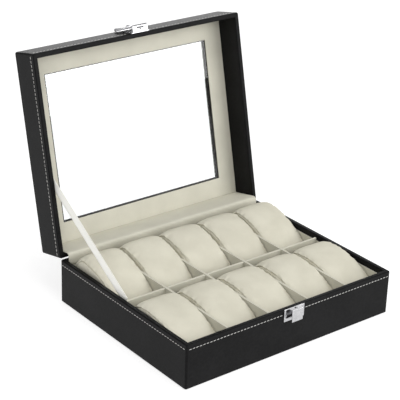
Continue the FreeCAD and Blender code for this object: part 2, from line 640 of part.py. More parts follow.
def pillow_section(tilt):
    """The pillow's section about its own middle, with its back end up by the tilt and a flat foot."""
    half_depth = number(f"{CELL_DEPTH} / 2 - Sizes.pillow_side_gap")
    half_thickness = number("Sizes.pillow_thickness / 2")
    side_radius = number("Sizes.pillow_side_radius")
    # The crown's arc, and the belly's like it, run into the sides' arcs without a kink
    side_centre = half_depth - side_radius
    reach = half_thickness**2 + side_centre**2 - side_radius**2
    crown_radius = reach / (2 * (half_thickness - side_radius))
    crown_drop = crown_radius - half_thickness
    shoulder = math.atan2(side_centre, crown_drop)
    across = crown_radius * math.sin(shoulder)
    height = crown_radius * math.cos(shoulder) - crown_drop
    arcs = [
        ((-across, height), (0, half_thickness), (across, height)),
        ((across, height), (half_depth, 0), (across, -height)),
        ((across, -height), (0, -half_thickness), (-across, -height)),
        ((-across, -height), (-half_depth, 0), (-across, height)),
    ]
    edges = []
    for arc in arcs:
        points = [FreeCAD.Vector(0, *point) for point in arc]
        edges.append(Part.Arc(*points).toShape())
    oval = Part.Face(Part.Wire(edges))
    oval.rotate(FreeCAD.Vector(), FreeCAD.Vector(1, 0, 0), tilt)
    # The tilted oval touches the floor with its belly, or with its front side where it tilts further
    lean = math.radians(tilt)
    on_belly = crown_radius - crown_drop * math.cos(lean)
    on_side = side_radius + side_centre * math.sin(lean)
    drop = on_belly if lean < shoulder else on_side
    foot = drop - number("Sizes.pillow_flat")
    span = 2 * half_depth
    corner = FreeCAD.Vector(-half_depth, -half_depth, -foot - span)
    below = Part.makeBox(span, span, span, corner)
    return oval.cut(below).Faces[0].OuterWire, foot


def pillow_shape(section):
    """A stuffed pillow about its own middle: a full crown, and a disc sewn into the lip of each end."""
    end = number(f"{CELL_LENGTH} / 2 - Sizes.pillow_end_gap")
    profile = [(end, number("Sizes.pillow_disc_ratio"))]
    for place in ("seam", "lip", "rim", "shoulder"):
        inset = number(f"Sizes.pillow_{place}_inset")
        profile.append((end - inset, number(f"Sizes.pillow_{place}_ratio")))
    profile.append((end - number("Sizes.pillow_crown_inset"), 1))
    mirrored = [(-along, ratio) for along, ratio in reversed(profile)]
    sections = []
    for along, ratio in profile + mirrored:
        ring = section.copy()
        ring.scale(ratio, FreeCAD.Vector())
        ring.translate(FreeCAD.Vector(along, 0, 0))
        sections.append(ring)
    make_solid = True
    ruled = True
    return Part.makeLoft(sections, make_solid, ruled)


def make_pillows():
    """One removable pillow in each cell, a little above the floor."""
    row_middle = number(f"(Sizes.divider + {CELL_DEPTH}) / 2")
    floor = number(f"{CELL_FLOOR} + Sizes.pillow_seat_gap")
    pitch = number(f"{CELL_LENGTH} + Sizes.divider")
    first = number(f"-{CELL_X} + {CELL_LENGTH} / 2")
    for row_name, across in (("front", -row_middle), ("back", row_middle)):
        section, foot = pillow_section(number(f"Sizes.pillow_{row_name}_tilt"))
        shape = pillow_shape(section)
        for column in range(SIZES["columns"]):
            label = f"pillow_{row_name}_{column + 1}"
            pillow = document.addObject("Part::Feature", label)
            pillow.Label = label
            pillow.Shape = shape
            pillow.Placement = FreeCAD.Placement(
                FreeCAD.Vector(first + column * pitch, across, floor + foot), FreeCAD.Rotation())
            pieces.append(pillow)


def check_pieces():
    """Stop if any object failed to build or any piece has no valid solid."""
    document.recompute()
    for item in document.Objects:
        if "Invalid" in item.State or "Error" in item.State:
            raise RuntimeError(f"{item.Label} failed to build: {item.State}")
    for piece in pieces:
        if piece.Shape.isNull() or not piece.Shape.isValid() or not piece.Shape.Solids:
            raise RuntimeError(f"{piece.Label} is not a valid solid")


def write_pieces():
    """Write each piece to a file of its own name."""
    os.makedirs("parts", exist_ok=True)
    for piece in pieces:
        piece.Shape.exportStep(f"parts/{piece.Label}.step")


make_base_shell()
make_base_lining()
make_lid_shell()
for hinge_name, hinge_side in HINGE_SIDES.items():
    make_hinge(hinge_name, hinge_side)
make_fasteners("hinge_base_screws", BASE_SCREWS)
make_fasteners("hinge_lid_screws", LID_SCREWS, LID_OPEN)
make_hinge_lining()
make_ribbon()
make_keeper()
make_hasp()
make_pillows()
check_pieces()
write_pieces()
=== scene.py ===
"""Looks of a hinged watch box: leather cloth, velvet, pillows, stitching, a ribbon stay and a clasp."""

import json
import logging
import math
from dataclasses import asdict, dataclass, field
from enum import Enum
from random import Random
from typing import Dict, List, Optional, Sequence, Tuple, Union

import bmesh
import bpy
from mathutils import Matrix, Vector


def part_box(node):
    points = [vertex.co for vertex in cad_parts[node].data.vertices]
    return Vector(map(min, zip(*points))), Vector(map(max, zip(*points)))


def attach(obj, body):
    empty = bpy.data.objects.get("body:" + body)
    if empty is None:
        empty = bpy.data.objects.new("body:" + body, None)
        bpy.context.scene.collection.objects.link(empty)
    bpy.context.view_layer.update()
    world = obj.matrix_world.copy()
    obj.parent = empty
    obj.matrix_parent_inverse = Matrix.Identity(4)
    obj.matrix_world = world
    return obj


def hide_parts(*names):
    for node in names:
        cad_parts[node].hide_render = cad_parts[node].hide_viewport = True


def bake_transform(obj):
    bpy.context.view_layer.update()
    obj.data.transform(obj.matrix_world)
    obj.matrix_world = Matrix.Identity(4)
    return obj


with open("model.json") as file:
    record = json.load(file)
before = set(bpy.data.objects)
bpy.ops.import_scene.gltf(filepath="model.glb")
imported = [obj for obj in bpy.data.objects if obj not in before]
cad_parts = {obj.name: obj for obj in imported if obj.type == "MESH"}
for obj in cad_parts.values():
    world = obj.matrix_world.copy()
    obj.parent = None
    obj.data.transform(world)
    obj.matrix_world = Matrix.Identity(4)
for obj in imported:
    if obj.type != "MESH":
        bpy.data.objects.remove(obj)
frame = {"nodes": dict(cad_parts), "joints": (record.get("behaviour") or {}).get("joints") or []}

logging.basicConfig(level=logging.INFO, format="%(name)s: %(message)s")
log = logging.getLogger("watch_box")

MM = 0.001
HALVES = ("base", "lid")
SIDES = ("front", "back", "left", "right")
HINGE_ENDS = ("left", "right")

Colour = Tuple[float, float, float]
Place = Tuple[float, float, float]
Value = Union["Signal", float, Sequence[float]]


@dataclass(frozen=True)
class Band:
    """The part of a level that is stretched to the full range from 0 to 1."""

    low: float
    high: float


@dataclass(frozen=True)
class Relief:
    """How strongly, and how deep in metres, a height shows in a surface."""

    strength: float
    depth: float


class Signal:
    """A node's output, with the arithmetic that shader expressions use."""

    def __init__(self, sheet: "ShaderSheet", socket: Optional[bpy.types.NodeSocket]) -> None:
        """Keep a node's sheet and its output, or nothing for a node without one."""
        self.sheet = sheet
        self.socket = socket

    def _math(self, operation: str, first: Value, second: Value) -> "Signal":
        """Add a Math node that works on two values."""
        return self.sheet.node("ShaderNodeMath", {"operation": operation}, {0: first, 1: second})

    def __add__(self, other: Value) -> "Signal":
        """This plus another value."""
        return self._math("ADD", self, other)

    __radd__ = __add__

    def __sub__(self, other: Value) -> "Signal":
        """This less another value."""
        return self._math("SUBTRACT", self, other)

    def __rsub__(self, other: Value) -> "Signal":
        """Another value less this."""
        return self._math("SUBTRACT", other, self)

    def __mul__(self, other: Value) -> "Signal":
        """This times another value."""
        return self._math("MULTIPLY", self, other)

    __rmul__ = __mul__


class ShaderSheet:
    """One material and its node tree."""

    # Where a Mix node has its two colours and its result.
    first_colour: int = 6
    second_colour: int = 7
    mixed_colour: int = 2

    def __init__(self, name: str) -> None:
        """Start a material with an empty tree.

        Args:
            name: The material's name.
        """
        self.material = bpy.data.materials.new(name)
        self.material.use_nodes = True
        self.tree = self.material.node_tree
        self.tree.nodes.clear()

    def node(
        self,
        kind: str,
        settings: Optional[Dict[str, object]] = None,
        sockets: Optional[Dict[Union[int, str], Value]] = None,
        output: Union[int, str] = 0,
    ) -> Signal:
        """Add any node.

        Args:
            kind: The node's type.
            settings: Its own settings, set first; stops are a colour ramp's places and colours.
            sockets: Values or links of its inputs.
            output: Which output to return.

        Returns:
            The chosen output.
        """
        made = self.tree.nodes.new(kind)
        for name, value in (settings or {}).items():
            if name == "stops":
                self._set_stops(made.color_ramp, value)
            else:
                setattr(made, name, value)
        for key, value in (sockets or {}).items():
            if isinstance(value, Signal):
                self.tree.links.new(value.socket, made.inputs[key])
            else:
                made.inputs[key].default_value = value
        return Signal(self, made.outputs[output] if made.outputs else None)

    @staticmethod
    def _set_stops(ramp: bpy.types.ColorRamp, stops: Sequence[Tuple[float, float]]) -> None:
        """Give a ramp its two grey stops.

        Args:
            ramp: The ramp.
            stops: Their places and levels, from left to right.
        """
        for element, (place, level) in zip(ramp.elements, stops):
            element.position = place
            element.color = (level, level, level, 1)

    def place(self, kind: str = "Object") -> Signal:
        """Where a point lies on the object, in metres, or on its unrolled surface."""
        return self.node("ShaderNodeTexCoord", output=kind)

    def noise(self, per_metre: float, detail: float = 2, at: Optional[Signal] = None) -> Signal:
        """Add soft noise about one half, with so many blotches to a metre."""
        sockets = {"Vector": at or self.place(), "Scale": per_metre, "Detail": detail}
        return self.node("ShaderNodeTexNoise", None, sockets)

    def contrast(self, level: Signal, band: Band) -> Signal:
        """Stretch a level so that the band's low becomes 0 and its high becomes 1."""
        return self.node("ShaderNodeValToRGB", {"stops": ((band.low, 0), (band.high, 1))}, {0: level})

    @staticmethod
    def mixed(first: Signal, second: Signal, share: float = 0.5) -> Signal:
        """Mix two levels, with this share of the first."""
        return first * share + second * (1 - share)

    def blend(self, share: Value, first: Colour, second: Colour) -> Signal:
        """Mix two colours, with this share of the second."""
        sockets = {0: share, self.first_colour: (*first, 1), self.second_colour: (*second, 1)}
        return self.node("ShaderNodeMix", {"data_type": "RGBA"}, sockets, output=self.mixed_colour)

    def bump(self, height: Signal, relief: Relief) -> Signal:
        """Turn a height into a surface normal."""
        sockets = {"Height": height, "Strength": relief.strength, "Distance": relief.depth}
        return self.node("ShaderNodeBump", None, sockets)

    def finish(self, sockets: Dict[Union[int, str], Value]) -> bpy.types.Material:
        """Close the material with a surface shader.

        Args:
            sockets: The shader's values and links.

        Returns:
            The material.
        """
        surface = self.node("ShaderNodeBsdfPrincipled", None, sockets)
        self.node("ShaderNodeOutputMaterial", None, {"Surface": surface})
        return self.material


@dataclass(frozen=True)
class LeatherCloth:
    """Black coated cloth with a fine pebbled grain and a satin gloss."""

    name: str = "black_leather_cloth"
    deep: Colour = (0.0035, 0.0035, 0.0038)
    raised: Colour = (0.0080, 0.0080, 0.0084)
    pebbles_per_metre: float = 1150
    pebble_softness: float = 0.6
    pebble_share: float = 0.75
    creases: Band = Band(0.15, 0.75)
    crease_gloss_share: float = 0.6
    pores_per_metre: float = 4200
    wander_per_metre: float = 420
    clouds_per_metre: float = 26
    tones: Band = Band(0.38, 0.62)
    gloss: float = 0.34
    gloss_range: float = 0.16
    shine: float = 0.085
    grain: Relief = Relief(0.28, 0.12 * MM)

    def material(self) -> bpy.types.Material:
        """Build the material.

        Returns:
            The finished material.
        """
        sheet = ShaderSheet(self.name)
        wander = sheet.noise(self.wander_per_metre)
        cloud = sheet.noise(self.clouds_per_metre, detail=3)
        pebble = sheet.node(
            "ShaderNodeTexVoronoi",
            {"feature": "SMOOTH_F1"},
            {"Vector": sheet.place(), "Scale": self.pebbles_per_metre, "Smoothness": self.pebble_softness},
        )
        crease = sheet.contrast(pebble, self.creases)
        height = sheet.mixed(1 - crease, sheet.noise(self.pores_per_metre), self.pebble_share)
        tone = sheet.contrast(sheet.mixed(wander, cloud), self.tones)
        matt = sheet.mixed(crease, wander, self.crease_gloss_share)
        return sheet.finish({
            "Base Color": sheet.blend(tone, self.deep, self.raised),
            "Roughness": self.gloss + self.gloss_range * matt,
            "Specular IOR Level": self.shine,
            "Normal": sheet.bump(height, self.grain),
        })


@dataclass(frozen=True)
class Velvet:
    """Short-pile velvet, brushed lighter and darker in soft patches."""

    name: str
    shade: Colour
    light: Colour
    patches_per_metre: float = 38
    sheen: float = 0.22
    patches: Band = Band(0.36, 0.66)
    patch_share: float = 0.55
    pile_per_metre: float = 2600
    pile_tones: Band = Band(0.3, 0.7)
    pile_share: float = 0.3
    pile_height_share: float = 0.6
    tufts_per_metre: float = 620
    roughness: float = 0.82
    roughness_range: float = 0.14
    shine: float = 0.12
    nap: Relief = Relief(0.4, 0.25 * MM)

    def material(self) -> bpy.types.Material:
        """Build the material.

        Returns:
            The finished material.
        """
        sheet = ShaderSheet(self.name)
        patch = sheet.contrast(sheet.noise(self.patches_per_metre, detail=3), self.patches)
        pile = sheet.noise(self.pile_per_metre, detail=3)
        tuft = sheet.noise(self.tufts_per_metre)
        tuft_share = 1 - self.patch_share - self.pile_share
        tone = patch * self.patch_share + sheet.contrast(pile, self.pile_tones) * self.pile_share
        return sheet.finish({
            "Base Color": sheet.blend(tone + tuft * tuft_share, self.shade, self.light),
            "Roughness": self.roughness + self.roughness_range * pile,
            "Specular IOR Level": self.shine,
            "Sheen Weight": self.sheen,
            "Sheen Tint": (*self.light, 1),
            "Normal": sheet.bump(sheet.mixed(pile, tuft, self.pile_height_share), self.nap),
        })


@dataclass(frozen=True)
class SatinRibbon:
    """Ivory satin tape with fine cross ribs and a firmer woven edge."""

    name: str = "ivory_satin_ribbon"
    shade: Colour = (0.90, 0.88, 0.80)
    light: Colour = (0.97, 0.965, 0.92)
    width: float = 10 * MM
    ribs_per_metre: float = 2400
    rib_waver: float = 0.6
    rib_share: float = 0.35
    rib_height_share: float = 0.7
    edge_share: float = 0.09
    clouds_per_metre: float = 90
    cloud_share: float = 0.4
    gloss: float = 0.3
    gloss_range: float = 0.2
    shine: float = 0.45
    sheen: float = 0.15
    weave: Relief = Relief(0.25, 0.12 * MM)

    def material(self) -> bpy.types.Material:
        """Build the material.

        Returns:
            The finished material.
        """
        sheet = ShaderSheet(self.name)
        unrolled = sheet.place("UV")
        waves_per_metre = self.ribs_per_metre / (2 * math.pi)
        rib = sheet.node(
            "ShaderNodeTexWave",
            {"bands_direction": "Y"},
            {"Vector": unrolled, "Scale": waves_per_metre, "Distortion": self.rib_waver, "Detail": 1},
        )
        across = sheet.node("ShaderNodeSeparateXYZ", None, {0: unrolled})
        from_middle = across * (1 / self.width) - 0.5
        middle = sheet.node("ShaderNodeMath", {"operation": "ABSOLUTE"}, {0: from_middle})
        edge = sheet.contrast(middle * 2, Band(1 - 2 * self.edge_share, 1 - self.edge_share))
        cloud = sheet.noise(self.clouds_per_metre)
        inner_share = 1 - self.cloud_share - self.rib_share
        tone = cloud * self.cloud_share + rib * self.rib_share + (1 - edge) * inner_share
        return sheet.finish({
            "Base Color": sheet.blend(tone, self.shade, self.light),
            "Roughness": self.gloss + self.gloss_range * rib,
            "Specular IOR Level": self.shine,
            "Sheen Weight": self.sheen,
            "Normal": sheet.bump(sheet.mixed(rib, edge, self.rib_height_share), self.weave),
        })


@dataclass(frozen=True)
class PlatedMetal:
    """Polished or brushed plate with faint handling marks."""

    name: str
    tint: Colour
    dull: Colour
    gloss: float
    gloss_range: float
    streak: Place = (1, 1, 1)
    smears_per_metre: float = 180
    hairs_per_metre: float = 1400
    marks: Band = Band(0.4, 0.68)
    scratches: Relief = Relief(0.06, 0.04 * MM)

    def material(self) -> bpy.types.Material:
        """Build the material.

        Returns:
            The finished material.
        """
        sheet = ShaderSheet(self.name)
        sockets = {0: sheet.place(), 1: self.streak}
        stretched = sheet.node("ShaderNodeVectorMath", {"operation": "MULTIPLY"}, sockets)
        smear = sheet.noise(self.smears_per_metre, detail=3)
        hair = sheet.noise(self.hairs_per_metre, at=stretched)
        mark = sheet.contrast(sheet.mixed(smear, hair), self.marks)
        return sheet.finish({
            "Base Color": sheet.blend(mark, self.tint, self.dull),
            "Metallic": 1.0,
            "Roughness": self.gloss + self.gloss_range * mark,
            "Normal": sheet.bump(hair, self.scratches),
        })


@dataclass(frozen=True)
class ClearGlass:
    """A clear pane with a trace of haze."""

    name: str = "clear_pane"
    tint: Colour = (0.97, 0.985, 0.98)
    clouds_per_metre: float = 30
    haze: Band = Band(0.45, 0.8)
    roughness: float = 0.004
    roughness_range: float = 0.012
    refraction: float = 1.45

    def material(self) -> bpy.types.Material:
        """Build the material.

        Returns:
            The finished material.
        """
        sheet = ShaderSheet(self.name)
        haze = sheet.contrast(sheet.noise(self.clouds_per_metre, detail=3), self.haze)
        return sheet.finish({
            "Base Color": (*self.tint, 1),
            "Roughness": self.roughness + self.roughness_range * haze,
            "IOR": self.refraction,
            "Transmission Weight": 1.0,
        })


@dataclass(frozen=True)
class PressedFibre:
    """Matted fibres: pressed board or felt."""

    name: str
    shade: Colour
    light: Colour
    fibres_per_metre: float
    roughness: float
    roughness_range: float = 0.08
    flecks: Band = Band(0.35, 0.68)
    fleck_share: float = 0.7
    clouds_per_metre: float = 24
    shine: float = 0.15
    nap: Relief = Relief(0.35, 0.2 * MM)

    def material(self) -> bpy.types.Material:
        """Build the material.

        Returns:
            The finished material.
        """
        sheet = ShaderSheet(self.name)
        fleck = sheet.contrast(sheet.noise(self.fibres_per_metre, detail=4), self.flecks)
        tone = sheet.mixed(fleck, sheet.noise(self.clouds_per_metre), self.fleck_share)
        return sheet.finish({
            "Base Color": sheet.blend(tone, self.shade, self.light),
            "Roughness": self.roughness - self.roughness_range * fleck,
            "Specular IOR Level": self.shine,
            "Normal": sheet.bump(fleck, self.nap),
        })


@dataclass(frozen=True)
class SewingThread:
    """Pale twisted thread."""

    name: str = "pale_thread"
    shade: Colour = (0.40, 0.395, 0.375)
    light: Colour = (0.72, 0.71, 0.68)
    twists_per_metre: float = 5200
    twist_tones: Band = Band(0.3, 0.7)
    roughness: float = 0.55
    roughness_range: float = 0.2
    twists: Relief = Relief(0.3, 0.1 * MM)

    def material(self) -> bpy.types.Material:
        """Build the material.

        Returns:
            The finished material.
        """
        sheet = ShaderSheet(self.name)
        twist = sheet.noise(self.twists_per_metre, detail=1)
        return sheet.finish({
            "Base Color": sheet.blend(sheet.contrast(twist, self.twist_tones), self.shade, self.light),
            "Roughness": self.roughness + self.roughness_range * twist,
            "Normal": sheet.bump(twist, self.twists),
        })


@dataclass(frozen=True)
class PaleGround:
    """The plain pale floor of the studio."""

    name: str = "pale_floor"
    colour: Colour = (0.5, 0.5, 0.5)
    glow: float = 0.72
    roughness: float = 0.9
    shine: float = 0.05

    def material(self) -> bpy.types.Material:
        """Build the material.

        Returns:
            The finished material.
        """
        sheet = ShaderSheet(self.name)
        return sheet.finish({
            "Base Color": (*self.colour, 1),
            "Roughness": self.roughness,
            "Specular IOR Level": self.shine,
            "Emission Color": (1, 1, 1, 1),
            "Emission Strength": self.glow,
        })


class Finish(Enum):
    """The finishes of the box's surfaces."""

    LEATHER = LeatherCloth()
    VELVET = Velvet("pale_lining_velvet", shade=(0.58, 0.562, 0.475), light=(0.655, 0.636, 0.54))
    PILLOW = Velvet(
        "pale_pillow_velvet", shade=(0.59, 0.565, 0.465), light=(0.70, 0.675, 0.565),
        patches_per_metre=40, sheen=0.12,
    )
    RIBBON = SatinRibbon()
    CLASP = PlatedMetal(
        "bright_plate", tint=(0.56, 0.56, 0.57), dull=(0.40, 0.40, 0.41), gloss=0.08, gloss_range=0.14
    )
    HINGE = PlatedMetal(
        "hinge_plate", tint=(0.66, 0.66, 0.67), dull=(0.50, 0.50, 0.51), gloss=0.24, gloss_range=0.18,
        streak=(0.08, 1, 1),
    )
    GLASS = ClearGlass()
    BOARD = PressedFibre(
        "dark_pressed_board", shade=(0.020, 0.018, 0.016), light=(0.060, 0.052, 0.044),
        fibres_per_metre=900, roughness=0.9,
    )
    FELT = PressedFibre(
        "black_felt", shade=(0.008, 0.008, 0.008), light=(0.028, 0.028, 0.028),
        fibres_per_metre=2200, roughness=0.98,
    )
    THREAD = SewingThread()
    GROUND = PaleGround()


class Slot(Enum):
    """The record's material slots of velvet, pillow velvet and ribbon."""

    VELVET = "velvet"
    PILLOW = "pillow_velvet"
    RIBBON = "ribbon"


@dataclass
class Paint:
    """Hands out each finish's material, made once."""

    made: Dict[Finish, bpy.types.Material] = field(default_factory=dict)

    def of(self, finish: Finish) -> bpy.types.Material:
        """The material of a finish.

        Args:
            finish: Which finish.

        Returns:
            Its material.
        """
        if finish not in self.made:
            self.made[finish] = finish.value.material()
        return self.made[finish]

    def dress(self, names: Sequence[str], finish: Finish) -> None:
        """Give solids of the frame a finish.

        Args:
            names: The nodes.
            finish: Their finish.
        """
        material = self.of(finish)
        for name in names:
            node = frame["nodes"][name]
            if not node.material_slots:
                node.data.materials.append(material)
            for slot in node.material_slots:
                slot.material = material
            log.info("%s dressed in %s", name, material.name)


@dataclass
class Bench:
    """Makes new pieces out of points and faces, and rounds the edges of solids."""

    paint: Paint
    join_reach: float = 0.002 * MM
    sharp_angle: float = 35

    def piece(
        self,
        name: str,
        points: Sequence[Sequence[float]],
        faces: Sequence[Sequence[int]],
        finish: Finish,
    ) -> bpy.types.Object:
        """Make a smooth mesh piece.

        Args:
            name: The piece's name.
            points: Its corners, in metres.
            faces: Its faces, as indices of the corners.
            finish: Its finish.

        Returns:
            The piece, linked to the scene.
        """
        mesh = bpy.data.meshes.new(name)
        mesh.from_pydata(points, [], faces)
        return self.piece_of(name, mesh, finish)

    def piece_of(self, name: str, mesh: bpy.types.Mesh, finish: Finish) -> bpy.types.Object:
        """Make a smooth piece of a mesh.

        Args:
            name: The piece's name.
            mesh: Its mesh.
            finish: Its finish.

        Returns:
            The piece, linked to the scene.
        """
        shell = bmesh.new()
        shell.from_mesh(mesh)
        bmesh.ops.recalc_face_normals(shell, faces=shell.faces)
        shell.to_mesh(mesh)
        shell.free()
        mesh.polygons.foreach_set("use_smooth", [True] * len(mesh.polygons))
        mesh.materials.clear()
        mesh.materials.append(self.paint.of(finish))
        piece = bpy.data.objects.new(name, mesh)
        bpy.context.scene.collection.objects.link(piece)
        log.info("%s made of %d faces", name, len(mesh.polygons))
        return piece

    def soften(self, names: Sequence[str], width: float, steps: int) -> None:
        """Round the sharp edges of solids of the frame a little.

        Args:
            names: The nodes.
            width: How wide the rounding is, in metres.
            steps: How many facets it has.
        """
        for name in names:
            node = frame["nodes"][name]
            join = node.modifiers.new("join", "WELD")
            join.merge_threshold = self.join_reach
            bevel = node.modifiers.new("soften", "BEVEL")
            bevel.width = width
            bevel.segments = steps
            bevel.limit_method = "ANGLE"
            bevel.angle_limit = math.radians(self.sharp_angle)
            even = node.modifiers.new("even", "WEIGHTED_NORMAL")
            even.keep_sharp = True


@dataclass
class Assembly:
    """A group of pieces that are made and dressed on one bench."""

    bench: Bench


@dataclass
class LidHinge:
    """The line that the lid turns about, and how far it stands open."""

    joint_name: str = "lid_hinge"
    axis_point: Vector = field(init=False)
    open_angle: float = field(init=False)

    def __post_init__(self) -> None:
        """Read the joint."""
        joint = next(item for item in frame["joints"] if item["name"] == self.joint_name)
        self.axis_point = Vector(joint["pos_m"])
        self.open_angle = math.radians(joint["range_deg"][1])

    def opened(self) -> Matrix:
        """The turn that takes a shut lid's points to where they are at rest."""
        turn = Matrix.Rotation(-self.open_angle, 4, "X")
        return Matrix.Translation(self.axis_point) @ turn @ Matrix.Translation(-self.axis_point)


@dataclass
class Shell(Assembly):
    """The leather-covered boards of the base and the lid, the felt and the pane."""

    wraps: Tuple[str, ...] = ("base_leather_wrap", "lid_leather_wrap")
    flat_boards: Tuple[str, ...] = ("base_floor_board", "lid_window_board")

    def build(self) -> None:
        """Dress the shell's solids."""
        walls = [f"{half}_{side}_board" for half in HALVES for side in SIDES]
        self.bench.paint.dress([*walls, *self.flat_boards], Finish.BOARD)
        self.bench.paint.dress(self.wraps, Finish.LEATHER)
        self.bench.paint.dress(["base_bottom_felt"], Finish.FELT)
        self.bench.paint.dress(["lid_glass"], Finish.GLASS)


@dataclass
class Lining(Assembly):
    """The velvet-covered cards: walls, floor, dividers and the lid's frame."""

    cross_dividers: int = 4
    edge_round: float = 0.9 * MM
    edge_steps: int = 3
    frame_round: float = 0.5 * MM
    frame_steps: int = 2

    def build(self) -> None:
        """Dress the cards and round their covered edges."""
        walls = [f"base_{side}_lining" for side in SIDES]
        dividers = [f"cross_divider_{index + 1}" for index in range(self.cross_dividers)] + ["row_divider"]
        self.bench.paint.dress(walls + dividers + ["base_floor_lining", "lid_velvet_frame"], Finish.VELVET)
        self.bench.soften(dividers, self.edge_round, self.edge_steps)
        self.bench.soften(["lid_velvet_frame"], self.frame_round, self.frame_steps)


@dataclass
class StitchRun:
    """One straight row of stitches on a face."""

    start: Vector
    end: Vector
    outward: Vector


@dataclass(frozen=True)
class ThreadRing:
    """A ring of a stitch: its place as a share of the length, its thickness and rise in radii."""

    place: float
    swell: float
    rise: float


@dataclass
class Stitching(Assembly):
    """The pale rows of stitches below the rims and round the window."""

    hinge: LidHinge
    below_rim: float = 5.0 * MM
    pitch: float = 3.85 * MM
    length: float = 2.95 * MM
    radius: float = 0.3 * MM
    proud: float = 0.12 * MM
    sunk_share: float = 0.35
    slant: float = 5.0
    end_room: float = 2.2 * MM
    rim_gap: float = 0.2 * MM
    window_half_length: float = 96.65 * MM
    window_half_depth: float = 73.7 * MM
    window_stitch_height: float = 78.6 * MM
    around: int = 8
    # Half of a stitch, from its middle out.
    half_profile: Tuple[ThreadRing, ...] = (
        ThreadRing(place=0.15, swell=1.0, rise=0.0),
        ThreadRing(place=0.38, swell=0.8, rise=-0.12),
        ThreadRing(place=0.5, swell=0.35, rise=-0.55),
    )

    def build(self) -> None:
        """Sew the base, the lid and the window."""
        low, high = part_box("base_leather_wrap")
        window_corner = Vector((self.window_half_length, self.window_half_depth, 0))
        base_runs = self.four_rows(low, high, high.z - self.below_rim)
        lid_runs = self.four_rows(low, high, high.z + self.rim_gap + self.below_rim)
        window_runs = self.four_rows(-window_corner, window_corner, self.window_stitch_height, facing=-1)
        base_plates = [f"hinge_base_leaf_{end}" for end in HINGE_ENDS] + ["keeper_plate"]
        lid_plates = [f"hinge_lid_leaf_{end}" for end in HINGE_ENDS] + ["hasp_bracket"]
        hidden_on_base = [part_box(name) for name in base_plates]
        hidden_on_lid = [self.shut_box(name) for name in lid_plates]
        self.sew("base_stitching", base_runs, hidden_on_base, "base", Matrix.Identity(4))
        self.sew("lid_stitching", lid_runs, hidden_on_lid, "lid", self.hinge.opened())
        self.sew("window_stitching", window_runs, [], "lid", self.hinge.opened())

    def shut_box(self, name: str) -> Tuple[Vector, Vector]:
        """The box of one of the lid's solids when the lid is shut.

        Args:
            name: The node.

        Returns:
            Its lowest and highest corners.
        """
        shut = self.hinge.opened().inverted()
        corners = [shut @ vertex.co for vertex in frame["nodes"][name].data.vertices]
        lowest = Vector([min(corner[axis] for corner in corners) for axis in range(3)])
        highest = Vector([max(corner[axis] for corner in corners) for axis in range(3)])
        return lowest, highest

    def four_rows(self, low: Vector, high: Vector, height: float, facing: int = 1) -> List[StitchRun]:
        """The four rows round the box, or round the window, at a height.

        Args:
            low: The faces' lowest corner.
            high: Their highest corner.
            height: Where the rows run.
            facing: 1 for faces that look outward, -1 for faces that look inward.

        Returns:
            The rows.
        """
        left, right = low.x + self.end_room, high.x - self.end_room
        front, back = low.y + self.end_room, high.y - self.end_room
        runs = []
        for y, outward in ((low.y, -facing), (high.y, facing)):
            ends = Vector((left, y, height)), Vector((right, y, height))
            runs.append(StitchRun(*ends, Vector((0, outward, 0))))
        for x, outward in ((low.x, -facing), (high.x, facing)):
            ends = Vector((x, front, height)), Vector((x, back, height))
            runs.append(StitchRun(*ends, Vector((outward, 0, 0))))
        return runs

    def sew(
        self,
        name: str,
        runs: Sequence[StitchRun],
        hidden: Sequence[Tuple[Vector, Vector]],
        body: str,
        move: Matrix,
    ) -> None:
        """Make all the stitches of some rows as one piece.

        Args:
            name: The piece's name.
            runs: Its rows.
            hidden: Boxes of plates that lie over the rows.
            body: The body that it rides on.
            move: How the rows are turned into place.
        """
        points: List[Vector] = []
        faces: List[List[int]] = []
        for run in runs:
            along = run.end - run.start
            count = int(along.length / self.pitch)
            for index in range(count):
                middle = run.start + along * ((index + 0.5) / count)
                if not any(self.behind(middle, box) for box in hidden):
                    self.add_stitch(points, faces, middle, along.normalized(), run.outward)
        piece = self.bench.piece(name, [move @ point for point in points], faces, Finish.THREAD)
        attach(piece, body)

    def behind(self, point: Vector, box: Tuple[Vector, Vector]) -> bool:
        """Whether a stitch would lie behind a plate."""
        margin = self.length / 2
        return all(box[0][axis] - margin < point[axis] < box[1][axis] + margin for axis in range(3))

    def add_stitch(
        self, points: List[Vector], faces: List[List[int]], middle: Vector, along: Vector, outward: Vector
    ) -> None:
        """Add one thread loop that rises out of the leather and dips back in.

        Args:
            points: The piece's corners so far.
            faces: The piece's faces so far.
            middle: The stitch's middle on the face.
            along: The row's direction.
            outward: The face's direction.
        """
        slanted = Matrix.Rotation(math.radians(self.slant), 3, outward) @ along
        sideways = outward.cross(slanted)
        first = len(points)
        profile = [(-ring.place, ring) for ring in reversed(self.half_profile)]
        profile += [(ring.place, ring) for ring in self.half_profile]
        for place, ring in profile:
            centre = middle + slanted * place * self.length
            centre += outward * (self.proud + (ring.rise - self.sunk_share) * self.radius)
            for step in range(self.around):
                angle = 2 * math.pi * step / self.around
                spoke = sideways * math.cos(angle) + outward * math.sin(angle)
                points.append(centre + spoke * self.radius * ring.swell)
        last = len(profile) - 1
        for index in range(last):
            for step in range(self.around):
                after = (step + 1) % self.around
                low = first + index * self.around
                high = low + self.around
                faces.append([low + step, low + after, high + after, high + step])
        faces.append([first + step for step in range(self.around)])
        faces.append([first + last * self.around + step for step in range(self.around)])


@dataclass
class Clasp(Assembly):
    """The bright clasp: the keeper on the base, the bracket on the lid and the folded lever."""

    edge_round: float = 0.18 * MM
    edge_steps: int = 2
    nodes: Tuple[str, ...] = (
        "keeper_plate", "keeper_rivets", "hasp_bracket", "hasp_rivets", "hasp_pin", "hasp_lever",
    )

    def build(self) -> None:
        """Dress the plates and take off their sharp edges."""
        self.bench.paint.dress(self.nodes, Finish.CLASP)
        self.bench.soften(self.nodes, self.edge_round, self.edge_steps)


